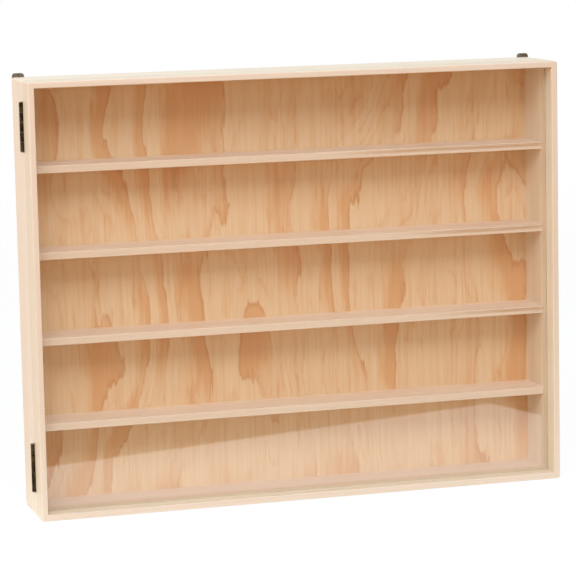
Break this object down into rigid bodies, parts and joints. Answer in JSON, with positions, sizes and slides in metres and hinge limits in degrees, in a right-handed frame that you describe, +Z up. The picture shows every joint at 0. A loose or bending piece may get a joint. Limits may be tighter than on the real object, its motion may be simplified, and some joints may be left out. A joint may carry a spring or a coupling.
{
  "type": "display_case",
  "caption": "Shallow wooden display case for model cars, with fixed shelves, a glazed door on butt hinges at the left, and keyhole hanging plates on the back.",
  "frame": {"origin": "middle of the underside, on the surface that the case stands on", "axes": "+X across the width toward the free edge of the door, +Y from the door toward the back, +Z up"},
  "size_m": [0.4328, 0.0642, 0.3432],
  "materials": {
    "case_wood": "raw sanded pale hardwood",
    "shelf_wood": "raw sanded pale hardwood with a little brown heartwood",
    "door_wood": "raw sanded pale hardwood",
    "plywood": "raw plywood face with a wavy upright figure",
    "clear_pane": "clear, polished",
    "dark_brass": "dark antique patina, worn at the edges",
    "bright_steel": "bright, slightly dulled"
  },
  "bodies": {
    "case": {"case_left_side": "case_wood", "case_right_side": "case_wood", "case_top": "case_wood", "case_bottom": "case_wood", "shelf_1": "shelf_wood", "shelf_2": "shelf_wood", "shelf_3": "shelf_wood", "shelf_4": "shelf_wood", "back_panel": "plywood", "back_panel_pins": "bright_steel", "hinge_lower_case_leaf": "dark_brass", "hinge_upper_case_leaf": "dark_brass", "hinge_lower_pin": "dark_brass", "hinge_upper_pin": "dark_brass", "hinge_lower_case_screws": "dark_brass", "hinge_upper_case_screws": "dark_brass", "hanger_left": "dark_brass", "hanger_right": "dark_brass", "hanger_screws": "dark_brass", "case_magnets": "bright_steel"},
    "door": {"door_left_stile": "door_wood", "door_right_stile": "door_wood", "door_top_rail": "door_wood", "door_bottom_rail": "door_wood", "door_pane": "clear_pane", "hinge_lower_door_leaf": "dark_brass", "hinge_upper_door_leaf": "dark_brass", "hinge_lower_door_screws": "dark_brass", "hinge_upper_door_screws": "dark_brass", "door_magnets": "bright_steel"}
  },
  "joints": [
    {"name": "door_hinge", "type": "hinge", "parent": "case", "child": "door", "pos_m": [-0.2158, -0.00875, 0.17], "axis": [0, 0, -1], "range_deg": [0, 180]}
  ]
}
